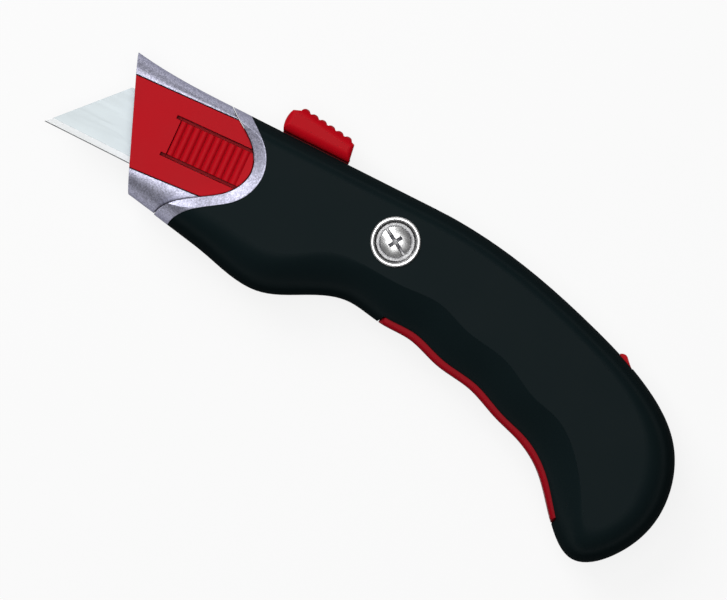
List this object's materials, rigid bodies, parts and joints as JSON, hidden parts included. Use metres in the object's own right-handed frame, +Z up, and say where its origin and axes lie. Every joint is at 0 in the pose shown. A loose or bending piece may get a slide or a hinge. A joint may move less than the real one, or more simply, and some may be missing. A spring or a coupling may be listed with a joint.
{
  "type": "utility knife",
  "caption": "Utility knife with a sliding trapezoid blade, ridged thumb slider, squeeze lever along the belly, pull-off nose and screwed handle halves.",
  "frame": {"origin": "on the flat right side of the handle, under the handle screw", "axes": "+X along the cutting edge to the butt, the blade points to -X; +Y to the spine; +Z up, out of the left side, with the knife lying on its right side"},
  "size_m": [0.2002, 0.0779, 0.0257],
  "materials": {
    "black_grip": "black soft-touch coating, matt",
    "silver": "metallic silver paint with a lavender cast",
    "red_plastic": "red moulded plastic, satin",
    "lever_red": "dark red moulded plastic",
    "blade_steel": "rolled steel strip with a ground edge",
    "dark_plastic": "glass-filled nylon",
    "spring_steel": "spring steel",
    "nickel": "nickel plate",
    "brass": "turned brass"
  },
  "bodies": {
    "handle": {"left_shell": "black_grip", "right_shell": "black_grip", "collar": "silver", "screw_cup": "nickel", "handle_screw": "nickel", "screw_insert": "brass", "lever_pin": "spring_steel", "lever_spring": "spring_steel", "spare_blades": "blade_steel"},
    "nose": {"nose_frame": "silver", "nose_plate_left": "red_plastic", "nose_plate_right": "red_plastic"},
    "tab_left": {"release_tab_left": "red_plastic"},
    "tab_right": {"release_tab_right": "red_plastic"},
    "carriage": {"blade_carriage": "dark_plastic", "blade_keeper": "dark_plastic", "blade": "blade_steel", "thumb_slider": "red_plastic", "detent_leaf": "spring_steel"},
    "lever": {"squeeze_lever": "lever_red", "latch_pawl": "spring_steel"},
    "lock": {"lock_button": "red_plastic"}
  },
  "joints": [
    {"name": "thumb_slide", "type": "slide", "parent": "handle", "child": "carriage", "axis": [1, 0, 0], "range_m": [0, 0.03]},
    {"name": "lever_squeeze", "type": "hinge", "parent": "handle", "child": "lever", "pos_m": [0.0755, -0.0425, 0.0125], "axis": [0, 0, -1], "range_deg": [0, 3], "stiffness_Nm_per_rad": 2, "deforming": ["lever_spring"]},
    {"name": "lock_press", "type": "slide", "parent": "handle", "child": "lock", "axis": [-0.3714, -0.9285, 0], "range_m": [0, 0.0012]},
    {"name": "nose_pull", "type": "slide", "parent": "handle", "child": "nose", "axis": [-1, 0, 0], "range_m": [0, 0.065]},
    {"name": "tab_left_press", "type": "hinge", "parent": "nose", "child": "tab_left", "pos_m": [-0.0672, -0.00165, 0.01939], "axis": [-0.0349, 0.9994, 0], "range_deg": [0, 3], "stiffness_Nm_per_rad": 0.05},
    {"name": "tab_right_press", "type": "hinge", "parent": "nose", "child": "tab_right", "pos_m": [-0.0672, -0.00165, 0.00561], "axis": [0.0349, -0.9994, 0], "range_deg": [0, 3], "stiffness_Nm_per_rad": 0.05}
  ]
}
